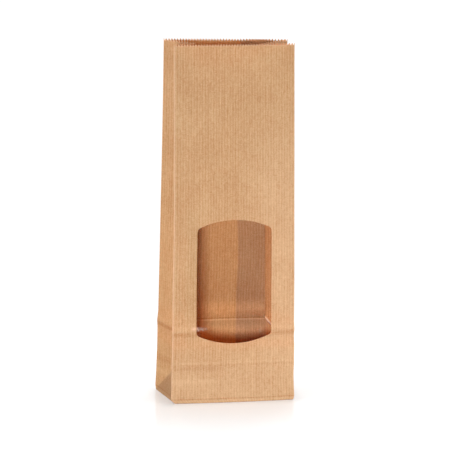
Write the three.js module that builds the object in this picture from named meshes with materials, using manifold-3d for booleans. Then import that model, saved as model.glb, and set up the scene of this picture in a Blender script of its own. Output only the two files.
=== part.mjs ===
// Brown paper bag with a film window: an empty, open, upright block-bottom bag.
// Millimetres, +Z up, +X to the viewer's right along the front panel, +Y to the back.
// The origin is the centre of the rectangular bottom, on the surface the bag stands on.

import * as THREE from 'three';
import { mergeVertices } from 'three/addons/utils/BufferGeometryUtils.js';
import Module from 'manifold-3d';

const wasm = await Module();
wasm.setup();

// ---- driving dimensions -------------------------------------------------------------------

const WIDTH = 70; // front and back panels
const DEPTH = 40; // unfolded gusset, and depth of the bottom
const HEIGHT = 203; // paper from the bottom's edge to the tips of the mouth's teeth
const WALL = 0.4; // wall of the solid, one layer of paper
const FLOOR = 1.0; // the bottom's folded layers together

const FOLD = DEPTH / 2; // a gusset's half width, and the height of its lowest fold point
const SHOULDER = DEPTH; // height of the crease left by the flat-folded bottom
const FOLD_TILT = THREE.MathUtils.degToRad(25); // lean of a gusset's bottom triangle

// Mouth corners: how far each has moved inwards from the corner of the bottom under it.
const MOUTH = {
  frontLeft: { inX: -1.1, inY: 5.4 },
  frontRight: { inX: 2.0, inY: 2.6 },
  backRight: { inX: 2.3, inY: 21.8 },
  backLeft: { inX: -1.1, inY: 9.7, arched: true },
};
const SHOULDER_IN = { front: 1.2, back: 1.9 }; // the same at the shoulder crease
const MOUTH_DROP = 0.95; // how much lower than the edges a gusset's fold is at the mouth
// Height and distance: the back right edge is kinked inwards above the shoulder crease.
const KINK = [[20, 0], [38, 0.7], [40, 1.4], [45, 6.1], [50, 5.8], [60, 4.8], [75, 3.1], [86, 1.4], [94, 0]];
const FRONT_BOW = 1.2; // the front panel's bulge half way across
const FRONT_STEPS = 8; // facets across the bulge
const ROW_STEPS = 5; // facets from above the kink to the mouth

const TOOTH = { pitch: 1.6, depth: 1.5 }; // pinked edge of the mouth
const SEAM = { from: 45.7, to: 63 }; // overlap on the back panel, from its left edge
const BACK_STATIONS = [WIDTH, SEAM.to, SEAM.from, SEAM.from / 2, 0]; // facets of that panel

const WINDOW = { width: 42.8, height: 70.2, centre: 68.7, crownRadius: 48, cornerRadius: 2.7 };
const FILM = { overlap: 6, thickness: 0.25, gap: 0.3, across: 8, up: 12 };

const TRIM = 2; // paper above the mouth that the pinking cut takes away

// ---- materials ----------------------------------------------------------------------------

const paperMaterial = new THREE.MeshStandardMaterial({
  name: 'brown_paper',
  color: 0xd4a67b,
  roughness: 0.85,
  metalness: 0,
});
const filmMaterial = new THREE.MeshStandardMaterial({
  name: 'clear_film',
  color: 0xf4f6f5,
  roughness: 0.1,
  metalness: 0,
  transparent: true,
  opacity: 0.25,
});

// ---- the folded sheet ---------------------------------------------------------------------

const halfWidth = WIDTH / 2;
const halfDepth = DEPTH / 2;
const signOf = {
  frontLeft: { x: -1, y: -1 },
  frontRight: { x: 1, y: -1 },
  backRight: { x: 1, y: 1 },
  backLeft: { x: -1, y: 1 },
};

// Lowest point of a gusset's fold: the tip of the triangle that leans in from the bottom.
const foldIn = FOLD * Math.sin(FOLD_TILT);
const foldHeight = FOLD * Math.cos(FOLD_TILT);
const foldHalfDepth = Math.sqrt(FOLD ** 2 - foldIn ** 2 - (FOLD - foldHeight) ** 2);

// How much lower than its edges a gusset's fold is: it shrinks evenly up to the mouth.
function foldDrop(h) {
  return THREE.MathUtils.mapLinear(h, FOLD, HEIGHT, FOLD - foldHeight, MOUTH_DROP);
}

// Depth of the kink at height h, straight between the heights listed.
function kink(h) {
  const above = KINK.findIndex(([height]) => height >= h);
  if (above <= 0) return 0;
  const [[low, from], [high, to]] = [KINK[above - 1], KINK[above]];
  return THREE.MathUtils.mapLinear(h, low, high, from, to);
}

// How far a corner edge has moved in along Y at height h: straight to the fold row and to the
// shoulder, then straight up to the mouth, or in a quarter sine wave where it is arched.
function cornerIn(name, h) {
  const atFold = halfDepth - foldHalfDepth;
  const isFront = signOf[name].y < 0;
  const atShoulder = isFront ? SHOULDER_IN.front : SHOULDER_IN.back;
  const extra = name === 'backRight' ? kink(h) : 0;
  if (h <= FOLD) return (atFold * h) / FOLD;
  if (h <= SHOULDER) {
    return THREE.MathUtils.mapLinear(h, FOLD, SHOULDER, atFold, atShoulder) + extra;
  }
  const rise = (h - SHOULDER) / (HEIGHT - SHOULDER);
  const ease = MOUTH[name].arched ? Math.sin((Math.PI / 2) * Math.min(rise, 1)) : rise;
  return atShoulder + (MOUTH[name].inY - atShoulder) * ease + extra;
}

// Corner edge of the bag at height h.
function corner(name, h) {
  const sign = signOf[name];
  const x = sign.x * (halfWidth - (MOUTH[name].inX * h) / HEIGHT);
  const y = sign.y * (halfDepth - cornerIn(name, h));
  return new THREE.Vector3(x, y, h);
}

// Fold in the middle of a gusset at height h: as far in as the half gusset's width leaves it.
function gussetFold(side, h) {
  const front = corner(side < 0 ? 'frontLeft' : 'frontRight', h);
  const back = corner(side < 0 ? 'backLeft' : 'backRight', h);
  const middle = front.clone().add(back).multiplyScalar(0.5);
  if (h === 0) return middle;
  const half = front.distanceTo(back) / 2;
  const inward = Math.sqrt(FOLD ** 2 - half ** 2 - foldDrop(h) ** 2);
  const along = back.sub(front).normalize();
  const normal = new THREE.Vector3(along.y, -along.x, 0).multiplyScalar(-side);
  if (normal.x * side > 0) normal.negate();
  middle.addScaledVector(normal, inward);
  middle.z -= foldDrop(h);
  return middle;
}

// Point of the front panel at s (0 left, 1 right) and height h, with its outward bulge.
function frontPoint(s, h) {
  const point = corner('frontLeft', h).lerp(corner('frontRight', h), s);
  point.y -= FRONT_BOW * 4 * s * (1 - s);
  return point;
}

// Point of the back panel at a distance along the paper from its left edge. The kink of the
// right edge fades with the sixth power of that distance.
function backPoint(along, h) {
  const share = along / WIDTH;
  const point = corner('backLeft', h).lerp(corner('backRight', h), share);
  point.y += kink(h) * (share - share ** 6);
  return point;
}

// One row of the sheet, counter-clockwise seen from above, starting at the front left corner.
function outerRow(h) {
  const row = [];
  for (let i = 0; i <= FRONT_STEPS; i += 1) row.push(frontPoint(i / FRONT_STEPS, h));
  row.push(gussetFold(1, h));
  for (const along of BACK_STATIONS) row.push(backPoint(along, h));
  row.push(gussetFold(-1, h));
  return row;
}

// The same row moved into the bag by a distance, with mitred corners.
function innerRow(row, distance) {
  const count = row.length;
  return row.map((point, i) => {
    const before = point.clone().sub(row[(i + count - 1) % count]).setZ(0).normalize();
    const after = row[(i + 1) % count].clone().sub(point).setZ(0).normalize();
    const miter = new THREE.Vector3(-(before.y + after.y), before.x + after.x, 0).normalize();
    const reach = distance / (-before.y * miter.x + before.x * miter.y);
    return point.clone().addScaledVector(miter, reach);
  });
}

// ---- solids from rows of points -----------------------------------------------------------

function geometryFrom(points, triangles) {
  const geometry = new THREE.BufferGeometry();
  geometry.setFromPoints(points);
  geometry.setIndex(triangles.flat());
  return geometry;
}

// Closed solid through rows of points, one above the other. Each face is cut in two along the
// line from its left foot to its right top, or the other way where leansLeft says so.
function loft(rows, leansLeft = () => false) {
  const count = rows[0].length;
  const triangles = [];
  for (let j = 0; j + 1 < rows.length; j += 1) {
    for (let i = 0; i < count; i += 1) {
      const a = j * count + i;
      const b = j * count + ((i + 1) % count);
      const c = b + count;
      const d = a + count;
      if (leansLeft(i)) triangles.push([a, b, d], [b, c, d]);
      else triangles.push([a, b, c], [a, c, d]);
    }
  }
  const outline = (row) => row.map((point) => new THREE.Vector2(point.x, point.y));
  const last = (rows.length - 1) * count;
  for (const [a, b, c] of THREE.ShapeUtils.triangulateShape(outline(rows[0]), [])) {
    triangles.push([c, b, a]);
  }
  for (const [a, b, c] of THREE.ShapeUtils.triangulateShape(outline(rows.at(-1)), [])) {
    triangles.push([last + a, last + b, last + c]);
  }
  return geometryFrom(rows.flat(), triangles);
}

function toSolid(geometry) {
  const bare = geometry.clone();
  bare.deleteAttribute('normal');
  bare.deleteAttribute('uv');
  const merged = mergeVertices(bare, 1e-4);
  return new wasm.Manifold(
    new wasm.Mesh({
      numProp: 3,
      vertProperties: new Float32Array(merged.attributes.position.array),
      triVerts: new Uint32Array(merged.index.array),
    }),
  );
}

function toGeometry(solid) {
  const mesh = solid.getMesh();
  const geometry = new THREE.BufferGeometry();
  geometry.setAttribute('position', new THREE.BufferAttribute(mesh.vertProperties, 3));
  geometry.setIndex(new THREE.BufferAttribute(mesh.triVerts, 1));
  geometry.computeVertexNormals();
  return geometry;
}

// ---- paper bag ----------------------------------------------------------------------------

// Row heights: bottom, lowest fold point, shoulder crease and kink, then evenly up past the
// mouth.
function rowHeights() {
  const heights = [0, ...KINK.map(([height]) => height)];
  const start = heights.at(-1);
  for (let k = 1; k <= ROW_STEPS; k += 1) {
    heights.push(start + ((HEIGHT - start) * k) / ROW_STEPS);
  }
  heights.push(HEIGHT + TRIM);
  return heights;
}

// The left leaning cuts are the gusset's diagonal creases, which rise to the fold point from
// the bottom's corners on both sides.
const rightRearHalf = FRONT_STEPS + 1;
const leftFrontHalf = FRONT_STEPS + BACK_STATIONS.length + 2;
const creaseLeansLeft = (i) => i === rightRearHalf || i === leftFrontHalf;

// The inside starts on the floor, far enough in to stay clear of the leaning gusset triangles.
function bagBody() {
  const outerRows = rowHeights().map(outerRow);
  const innerRows = outerRows.map((row, j) => innerRow(row, j === 0 ? FLOOR : WALL));
  innerRows[0].forEach((point) => point.setZ(FLOOR));
  innerRows.push(innerRows.at(-1).map((point) => point.clone().setZ(point.z + TRIM)));
  return toSolid(loft(outerRows, creaseLeansLeft)).subtract(
    toSolid(loft(innerRows, creaseLeansLeft)),
  );
}

// Second layer of the back panel, inside, where the tube's two edges are glued together.
function seamLayer() {
  const bite = WALL / 4; // how far the layer reaches into the wall that carries it
  const near = WALL - bite;
  const far = WALL * 2;
  const rows = rowHeights().map((h) => {
    const width = backPoint(SEAM.to, h).sub(backPoint(SEAM.from, h));
    const inward = new THREE.Vector3(width.y, -width.x, 0).normalize();
    const at = (along, deep) => backPoint(along, h).addScaledVector(inward, deep);
    return [at(SEAM.from, far), at(SEAM.to, far), at(SEAM.to, near), at(SEAM.from, near)];
  });
  rows[0].forEach((point) => point.setZ(FLOOR - bite));
  return toSolid(loft(rows, (i) => i === 0));
}

// Block above the pinked edge between two corners of the mouth: its underside is the zigzag.
function pinkingCut(from, to) {
  const reach = 4 * TRIM;
  const length = from.distanceTo(to);
  const teeth = Math.round(length / TOOTH.pitch);
  const shape = new THREE.Shape();
  shape.moveTo(-TRIM, reach);
  shape.lineTo(-TRIM, 0);
  for (let i = 0; i <= teeth * 2; i += 1) {
    shape.lineTo((length * i) / (teeth * 2), i % 2 ? -TOOTH.depth : 0);
  }
  shape.lineTo(length + TRIM, 0);
  shape.lineTo(length + TRIM, reach);
  const slab = 2 * TRIM;
  const block = new THREE.ExtrudeGeometry(shape, { depth: slab, bevelEnabled: false });
  block.translate(0, 0, -slab / 2);
  const along = to.clone().sub(from).normalize();
  const across = new THREE.Vector3(along.y, -along.x, 0).normalize();
  const up = new THREE.Vector3().crossVectors(across, along);
  block.applyMatrix4(new THREE.Matrix4().makeBasis(along, up, across).setPosition(from));
  return toSolid(block);
}

function mouthCuts() {
  const folds = [
    corner('frontLeft', HEIGHT),
    corner('frontRight', HEIGHT),
    gussetFold(1, HEIGHT),
    corner('backRight', HEIGHT),
    corner('backLeft', HEIGHT),
    gussetFold(-1, HEIGHT),
  ];
  return folds.map((point, i) => pinkingCut(point, folds[(i + 1) % folds.length]));
}

// Outline of the window: straight sides, crowned top and bottom, small round corners.
function windowShape(grow = 0) {
  const half = WINDOW.width / 2 + grow;
  const crown = WINDOW.height / 2 + grow;
  const radius = WINDOW.crownRadius;
  const fillet = WINDOW.cornerRadius;
  const crownCentre = crown - radius;
  const filletX = half - fillet;
  const filletY = crownCentre + Math.sqrt((radius - fillet) ** 2 - filletX ** 2);
  const lean = Math.atan2(filletY - crownCentre, filletX);
  const shape = new THREE.Shape();
  shape.moveTo(half, -filletY);
  shape.absarc(filletX, filletY, fillet, 0, lean);
  shape.absarc(0, crownCentre, radius, lean, Math.PI - lean);
  shape.absarc(-filletX, filletY, fillet, Math.PI - lean, Math.PI);
  shape.absarc(-filletX, -filletY, fillet, Math.PI, Math.PI + lean);
  shape.absarc(0, -crownCentre, radius, Math.PI + lean, 2 * Math.PI - lean);
  shape.absarc(filletX, -filletY, fillet, 2 * Math.PI - lean, 2 * Math.PI);
  return shape;
}

function windowCut() {
  const deep = halfDepth;
  const block = new THREE.ExtrudeGeometry(windowShape(), {
    depth: deep,
    bevelEnabled: false,
    curveSegments: 10,
  });
  block.rotateX(Math.PI / 2);
  block.translate(0, -halfDepth / 2, WINDOW.centre);
  return toSolid(block);
}

function paperBag() {
  let body = bagBody().add(seamLayer());
  for (const cut of [...mouthCuts(), windowCut()]) body = body.subtract(cut);
  const mesh = new THREE.Mesh(toGeometry(body), paperMaterial);
  mesh.name = 'paper_bag';
  return mesh;
}

// ---- window film --------------------------------------------------------------------------

// A thin pane glued behind the front panel, with an overlap round the window. It follows the
// panel's lean and bulge: rows of points go round the pane, up its front and down its back.
function windowFilm() {
  const halfPane = WINDOW.width / 2 + FILM.overlap;
  const low = WINDOW.centre - WINDOW.height / 2 - FILM.overlap;
  const high = WINDOW.centre + WINDOW.height / 2 + FILM.overlap;
  const near = WALL + FILM.gap;
  const rows = [];
  for (let j = 0; j <= FILM.up; j += 1) {
    const h = THREE.MathUtils.lerp(low, high, j / FILM.up);
    const at = (i, deep) => {
      const s = 0.5 + (halfPane * (2 * (i / FILM.across) - 1)) / WIDTH;
      const point = frontPoint(s, h);
      point.y += deep;
      return point;
    };
    const front = Array.from({ length: FILM.across + 1 }, (_, i) => at(i, near));
    const back = Array.from({ length: FILM.across + 1 }, (_, i) => at(i, near + FILM.thickness));
    rows.push([...front, ...back.reverse()]);
  }
  const mesh = new THREE.Mesh(toGeometry(toSolid(loft(rows))), filmMaterial);
  mesh.name = 'window_film';
  return mesh;
}

// ---- the whole bag ------------------------------------------------------------------------

const group = new THREE.Group();
group.add(paperBag());
group.add(windowFilm());

export default group;
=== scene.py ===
"""Looks of an empty, upright brown paper bag with a film window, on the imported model's frame.

Lengths in the classes are millimetres, meshes are metres. +X runs right along the front panel,
+Y to the back, +Z up. The origin is the centre of the bottom, on the surface the bag stands on.
"""

import logging
from collections.abc import Callable, Mapping, Sequence
from dataclasses import dataclass, field
from enum import Enum

import bpy
import numpy as np
from mathutils import Matrix, Vector


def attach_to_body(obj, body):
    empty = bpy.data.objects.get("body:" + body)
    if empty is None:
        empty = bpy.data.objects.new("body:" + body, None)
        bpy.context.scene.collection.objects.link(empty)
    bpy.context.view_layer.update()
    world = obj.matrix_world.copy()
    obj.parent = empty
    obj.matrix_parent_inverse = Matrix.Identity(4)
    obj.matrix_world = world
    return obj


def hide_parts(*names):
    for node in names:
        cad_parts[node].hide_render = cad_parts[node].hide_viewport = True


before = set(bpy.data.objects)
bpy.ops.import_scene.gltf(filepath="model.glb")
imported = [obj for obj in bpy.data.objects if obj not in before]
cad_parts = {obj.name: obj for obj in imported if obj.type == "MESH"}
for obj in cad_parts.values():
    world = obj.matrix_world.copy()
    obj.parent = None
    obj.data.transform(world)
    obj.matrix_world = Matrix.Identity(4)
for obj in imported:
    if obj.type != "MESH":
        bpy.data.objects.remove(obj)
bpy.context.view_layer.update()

MM = 0.001
TINY = 1e-9
FLAT_SHEET = "flat_sheet"
INNER_SKIN = "inner_skin"
SHARP_ANGLE = np.radians(60.0)
NOISE_ROUGHNESS = 0.55
MIX_FIRST, MIX_SECOND, MIX_RESULT = 6, 7, 2  # the Mix node's sockets for colours

log = logging.getLogger("paper bag")

Array = np.ndarray
Surface = Callable[[Array, Array], Array]
Colour = tuple[float, float, float]
Span = tuple[float, float]
Profile = tuple[tuple[float, float], ...]


# ---- thin sheets ---------------------------------------------------------------------------


def unit(vectors: Array) -> Array:
    """Returns the vectors at length one."""
    return vectors / np.maximum(np.linalg.norm(vectors, axis=-1, keepdims=True), TINY)


def smooth_step(value: Array) -> Array:
    """Returns 3v^2 - 2v^3 of the value held between 0 and 1."""
    held = np.clip(value, 0.0, 1.0)
    return held * held * (3.0 - 2.0 * held)


def read_off(profile: Profile, h: Array) -> Array:
    """Returns the profile's value at each height, on straight lines between its points."""
    heights, values = np.array(profile).T
    return np.interp(h, heights, values)


def grid_quads(columns: int, rows: int) -> Array:
    """Lists the four corners of each cell of a grid that is stored row by row.

    Args:
        columns: points in a row.
        rows: rows of points.

    Returns:
        An array of cells (rows - 1, columns - 1, 4), counter-clockwise.
    """
    across, up = np.meshgrid(np.arange(columns - 1), np.arange(rows - 1))
    corner = up * columns + across
    return np.stack([corner, corner + 1, corner + 1 + columns, corner + columns], axis=-1)


@dataclass
class ThinSheet:
    """A surface of two parameters, given a real thickness and closed round its edges."""

    surface: Surface
    thickness: float
    first: Array
    second: Array
    quads: Array
    pattern: Array
    step: float = 0.3

    def normals(self) -> Array:
        """Cross product of the surface's two slopes, from points a small step away.

        Returns:
            A normal of length one for each point.
        """
        a, b, step = self.first, self.second, self.step
        along = self.surface(a + step, b) - self.surface(a - step, b)
        up = self.surface(a, b + step) - self.surface(a, b - step)
        return unit(np.cross(along, up))

    def shell(self) -> tuple[Array, Array, Array, Array]:
        """Puts one skin half the thickness outside the surface and one inside, and joins them.

        Returns:
            Points, quads and pattern coordinates of the closed sheet, and 1 for each point of
            the inner skin.
        """
        middle = self.surface(self.first, self.second)
        half = self.normals() * (self.thickness / 2)
        count = len(middle)
        starts = self.quads.ravel()
        ends = np.roll(self.quads, -1, axis=1).ravel()
        keys = np.minimum(starts, ends) * count + np.maximum(starts, ends)
        _, place, uses = np.unique(keys, return_index=True, return_counts=True)
        rim = place[uses == 1]
        a, b = starts[rim], ends[rim]
        edge = np.stack([b, a, a + count, b + count], axis=-1)
        quads = np.concatenate([self.quads, self.quads[:, ::-1] + count, edge])
        points = np.concatenate([middle + half, middle - half])
        inner = np.repeat([0.0, 1.0], count)
        return points, quads, np.concatenate([self.pattern, self.pattern]), inner


def make_object(
    name: str, points: Array, quads: Array, pattern: Array, inner: Array
) -> bpy.types.Object:
    """Makes a smooth mesh object with its place in its mesh and a pattern map in metres.

    Args:
        name: name of the piece.
        points: places in millimetres.
        quads: corners of the faces.
        pattern: along and up on the flat sheet for each point, in millimetres.
        inner: 1 for each point of the inner skin.

    Returns:
        The object, linked to the scene.
    """
    used, quads = np.unique(quads, return_inverse=True)
    quads = quads.reshape(-1, 4)
    points, pattern, inner = points[used], pattern[used], inner[used]
    mesh = bpy.data.meshes.new(name)
    mesh.vertices.add(len(points))
    mesh.vertices.foreach_set("co", (points * MM).astype(np.float32).ravel())
    mesh.loops.add(quads.size)
    mesh.loops.foreach_set("vertex_index", quads.astype(np.int32).ravel())
    mesh.polygons.add(len(quads))
    mesh.polygons.foreach_set("loop_start", np.arange(0, quads.size, 4, dtype=np.int32))
    mesh.update(calc_edges=True)
    layer = mesh.uv_layers.new(name=FLAT_SHEET)
    layer.data.foreach_set("uv", (pattern[quads.ravel()] * MM).astype(np.float32).ravel())
    skin = mesh.attributes.new(INNER_SKIN, "FLOAT", "POINT")
    skin.data.foreach_set("value", inner.astype(np.float32))
    mesh.validate()
    mesh.polygons.foreach_set("use_smooth", np.ones(len(mesh.polygons), dtype=bool))
    mesh.set_sharp_from_angle(angle=SHARP_ANGLE)
    piece = bpy.data.objects.new(name, mesh)
    bpy.context.scene.collection.objects.link(piece)
    return piece


# ---- the folded paper ----------------------------------------------------------------------


@dataclass(frozen=True)
class CornerEdge:
    """One upright edge: its corner of the bottom, its lean to the mouth and its small bends.

    Strays are shifts to the right and pulls are shifts inward, both listed by height. Bulge is
    how far the gusset's half beside the edge curves out at the mouth.
    """

    side: int
    face: int
    mouth_in_x: float
    mouth_in_y: float
    strays: Profile
    pulls: Profile = ((0, 0.0), (1, 0.0))
    bulge: float = 0.0
    arched: bool = False

    def stray(self, h: Array) -> Array:
        """Returns how far right of its straight line the edge is at height h."""
        return read_off(self.strays, h)

    def pull(self, h: Array) -> Array:
        """Returns how much farther in than its straight line the edge is at height h."""
        return read_off(self.pulls, h)


FRONT_LEFT = CornerEdge(
    side=-1, face=-1, mouth_in_x=-1.1, mouth_in_y=5.4,
    strays=((0, 1.4), (2.4, -0.7), (14, -0.4), (30, -0.15), (65, -0.15), (82, 0.15),
            (95, 0.4), (202, 0)),
)
FRONT_RIGHT = CornerEdge(
    side=1, face=-1, mouth_in_x=2.0, mouth_in_y=2.6,
    strays=((0, 0.6), (14, 0.65), (20, 0.95), (31, 0.95), (37, 0.6), (68, 0.65),
            (114, 0.29), (142, 0.13), (193, -0.27)),
)
BACK_RIGHT = CornerEdge(
    side=1, face=1, mouth_in_x=2.3, mouth_in_y=21.8,
    strays=((0, 0.2), (3, 0.5), (40, 0.4), (110, 0.2), (202, 0)),
    pulls=((0, 0.0), (30, 0.2), (38, 0.7), (40.5, 1.6), (45, 6.1), (50, 5.8), (60, 4.8),
           (75, 3.1), (86, 1.4), (94, 0.0)),
    bulge=0.8,
)
BACK_LEFT = CornerEdge(
    side=-1, face=1, mouth_in_x=-1.1, mouth_in_y=9.7,
    strays=((0, -0.6), (17, -0.6), (24, -0.36), (40, -0.28), (46, 0), (110, -0.2), (202, 0)),
    arched=True,
)


@dataclass(frozen=True)
class WindowOutline:
    """The window: straight sides, crowned top and bottom, small round corners."""

    width: float = 42.8
    height: float = 70.2
    centre: float = 68.7
    crown_radius: float = 48.0
    corner_radius: float = 2.7

    def reach(self, across: Array, up: Array) -> Array:
        """Distance from the window's centre to its outline, in given directions.

        A ray meets the straight side, the crown's circle or the corner's circle. It is the side
        where that lies lower than the corner's start, the crown where that lies nearer the
        middle than the corner's end, and the corner otherwise.

        Args:
            across: first part of each direction of length one.
            up: second part.

        Returns:
            The distances.
        """
        x, z = np.maximum(np.abs(across), TINY), np.abs(up)
        crown_centre = self.height / 2 - self.crown_radius
        corner_x = self.width / 2 - self.corner_radius
        inner = self.crown_radius - self.corner_radius
        corner_z = crown_centre + np.sqrt(inner**2 - corner_x**2)
        side = self.width / 2 / x
        crown = z * crown_centre + np.sqrt(
            self.crown_radius**2 - crown_centre**2 + (z * crown_centre) ** 2
        )
        near = x * corner_x + z * corner_z
        gap = corner_x**2 + corner_z**2 - self.corner_radius**2
        corner = near + np.sqrt(np.maximum(near**2 - gap, 0.0))
        crown_end = corner_x * self.crown_radius / inner
        distance = np.where(crown * x < crown_end, crown, corner)
        return np.where(side * z < corner_z, side, distance)


@dataclass(frozen=True)
class FoldedTube:
    """The bag's paper as one folded strip, from the outer glued edge round to the inner one.

    A point is given by its distance along the strip and its height on the flat sheet. Heights
    under zero lie on the bottom. A reach is the length over which something comes or goes.
    """

    width: float = 70.0
    depth: float = 40.0
    height: float = 202.8
    shoulder: float = 40.0
    fold_tilt: float = np.radians(25.0)
    mouth_drop: float = 0.95
    front_in: float = 1.2
    back_in: float = 1.9
    bow: float = 1.2
    back_bow: float = 0.5
    kink_power: int = 6
    wave: float = 0.12
    wave_reach: float = 30.0
    wave_rate: float = 1 / 26.0
    wave_starts: tuple[float, float] = (1.1, 0.4)  # up and across, in radians
    seam_from: float = 45.7
    seam_to: float = 63.0
    layer_gap: float = 0.28
    layer_start: float = 1.5
    layer_reach: float = 4.0
    rest: float = 0.1
    flap_lift: float = 0.35
    flap_reach: float = 4.0
    flap_layer_reach: float = 2.0
    past_mouth: float = 1.1  # the edges go on this far, as a share of their upper part
    bends: tuple[tuple[int, float], ...] = ((-1, 0.25), (0, 0.5), (1, 0.25))  # steps and their weights
    bend_along: float = 0.6
    bend_up: float = 0.5
    swell_sideways: float = 0.3
    swell: Profile = (
        (0, -0.45), (2.4, 0.45), (6, 0.25), (12, 0), (18.2, 0), (21.4, 0.16), (23.6, 0),
        (36.6, -0.05), (40.6, 0.42), (45.5, 0), (202, 0),
    )
    seam_strays: Profile = (
        (0, 0), (40, 0.1), (57, 0.5), (70, 0), (85, 0.1), (97, 1.1), (150, 1.7), (202, 2.2),
    )

    @property
    def fold(self) -> float:
        """Width of half a gusset."""
        return self.depth / 2

    @property
    def back_left(self) -> float:
        """Distance along the strip of the back left edge."""
        return self.seam_to

    @property
    def left_fold(self) -> float:
        """Distance along the strip of the left gusset's fold."""
        return self.back_left + self.fold

    @property
    def front_left(self) -> float:
        """Distance along the strip of the front left edge."""
        return self.left_fold + self.fold

    @property
    def front_right(self) -> float:
        """Distance along the strip of the front right edge."""
        return self.front_left + self.width

    @property
    def right_fold(self) -> float:
        """Distance along the strip of the right gusset's fold."""
        return self.front_right + self.fold

    @property
    def back_right(self) -> float:
        """Distance along the strip of the back right edge."""
        return self.right_fold + self.fold

    @property
    def length(self) -> float:
        """Whole length of the strip."""
        return self.back_right + self.width - self.seam_from

    def corner(self, edge: CornerEdge, h: Array) -> Array:
        """Point of an upright edge.

        It moves in straight to the fold row and to the shoulder crease, then straight up to the
        mouth, or along a quarter of a sine wave if it is arched. The swell moves it out, and its
        own strays and pulls move it sideways and in.

        Args:
            edge: which edge.
            h: heights.

        Returns:
            Points.
        """
        fold_in = self.fold * np.sin(self.fold_tilt)
        drop = self.fold * (1 - np.cos(self.fold_tilt))
        at_fold = self.fold - np.sqrt(self.fold**2 - fold_in**2 - drop**2)
        at_shoulder = self.front_in if edge.face < 0 else self.back_in
        low = np.interp(h, [0.0, self.fold, self.shoulder], [0.0, at_fold, at_shoulder])
        rise = np.clip((h - self.shoulder) / (self.height - self.shoulder), 0.0,
                       self.past_mouth)
        ease = np.sin(np.pi / 2 * np.minimum(rise, 1.0)) if edge.arched else rise
        inward = low + (edge.mouth_in_y - at_shoulder) * ease + edge.pull(h)
        swell = read_off(self.swell, h)
        sideways = self.swell_sideways * swell
        x = edge.side * (self.width / 2 - edge.mouth_in_x * h / self.height + sideways)
        y = edge.face * (self.depth / 2 - inward + swell)
        return np.stack([x + edge.stray(h), y, h], axis=-1)

    def gusset_fold(self, front: CornerEdge, back: CornerEdge, h: Array) -> Array:
        """Fold of a gusset, as far in as its half width leaves it, and a little lower.

        The drop under the edges shrinks evenly from the lowest fold point to the mouth.

        Args:
            front: the gusset's front edge.
            back: the gusset's back edge.
            h: heights, used from the lowest fold point up.

        Returns:
            Points.
        """
        h = np.maximum(h, self.fold)
        near, far = self.corner(front, h), self.corner(back, h)
        lowest = self.fold * (1 - np.cos(self.fold_tilt))
        drop = np.interp(h, [self.fold, self.height], [lowest, self.mouth_drop])
        half = np.linalg.norm(far - near, axis=-1) / 2
        inward = np.sqrt(np.maximum(self.fold**2 - half**2 - drop**2, 0.0))
        along = unit(far - near)
        normal = np.stack([-front.side * np.abs(along[..., 1]), np.zeros_like(half),
                           np.zeros_like(half)], axis=-1)
        normal[..., 1] = -normal[..., 0] * along[..., 0] / along[..., 1]
        fold = (near + far) / 2 + unit(normal) * inward[..., None]
        fold[..., 2] -= drop
        return fold

    def gusset(self, edge: CornerEdge, other: CornerEdge, share: Array, h: Array) -> Array:
        """Half a gusset, from its upright edge (share 0) to its fold (share 1).

        Under the lowest fold point a diagonal crease cuts it: the part above stands on from the
        edge, and the part below leans in from the bottom as a flat triangle. The bulge is a
        parabola over the share that grows with the square of the height.

        Args:
            edge: the upright edge of this half.
            other: the upright edge of the other half.
            share: distance from the edge over the half's width.
            h: heights.

        Returns:
            Points.
        """
        front, back = (edge, other) if edge.face < 0 else (other, edge)
        u = share[..., None]
        standing = self.corner(edge, h)
        fold = self.gusset_fold(front, back, h)
        high = standing + (fold - standing) * u
        high[..., 1] += edge.face * edge.bulge * (h / self.height) ** 2 * 4 * share * (1 - share)
        level = np.full_like(h, self.fold)
        floor = np.zeros_like(h)
        corner_top, corner_foot = self.corner(edge, level), self.corner(edge, floor)
        tip = self.gusset_fold(front, back, level)
        middle = (corner_foot + self.corner(other, floor)) / 2
        above = standing + (tip - corner_top) * u
        v = (h / self.fold)[..., None]
        crease = np.clip(share, 0.0, 1.0) * self.fold
        bend = self.corner(edge, crease) - corner_foot
        bend = bend - (corner_top - corner_foot) * (crease / self.fold)[..., None]
        below = corner_foot + (middle - corner_foot) * u + (tip - middle) * v
        below = below + bend * np.clip(v / np.maximum(u, TINY), 0.0, 1.0)
        low = np.where(v < u, below, above)
        return np.where(h[..., None] < self.fold, low, high)

    def front(self, across: Array, h: Array) -> Array:
        """Front panel between its edges, bowed out as a parabola, with a faint long wave.

        Args:
            across: distance from the left edge over the width.
            h: heights.

        Returns:
            Points.
        """
        left, right = self.corner(FRONT_LEFT, h), self.corner(FRONT_RIGHT, h)
        point = left + (right - left) * across[..., None]
        inside = 4 * across * (1 - across)
        up_start, across_start = self.wave_starts
        wave = np.sin(h * self.wave_rate + up_start) * np.sin(2 * np.pi * across + across_start)
        height = self.wave * np.clip(h / self.wave_reach, 0.0, 1.0)
        point[..., 1] -= inside * (self.bow + height * wave)
        return point

    def back(self, along: Array, h: Array, inner: Array | float = 0.0) -> Array:
        """Back panel between its edges, bowed as a parabola.

        The right edge's pull bends only the panel's end, with a high power of the share.

        Args:
            along: distance from the left edge.
            h: heights.
            inner: how far the layer lies inside the outer one.

        Returns:
            Points.
        """
        left, right = self.corner(BACK_LEFT, h), self.corner(BACK_RIGHT, h)
        share = along / self.width
        point = left + (right - left) * share[..., None]
        held = np.clip(share, 0.0, 1.0)
        bend = BACK_RIGHT.pull(h) * (held - held**self.kink_power)
        point[..., 1] += self.back_bow * 4 * share * (1 - share) + bend - inner
        return point

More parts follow.
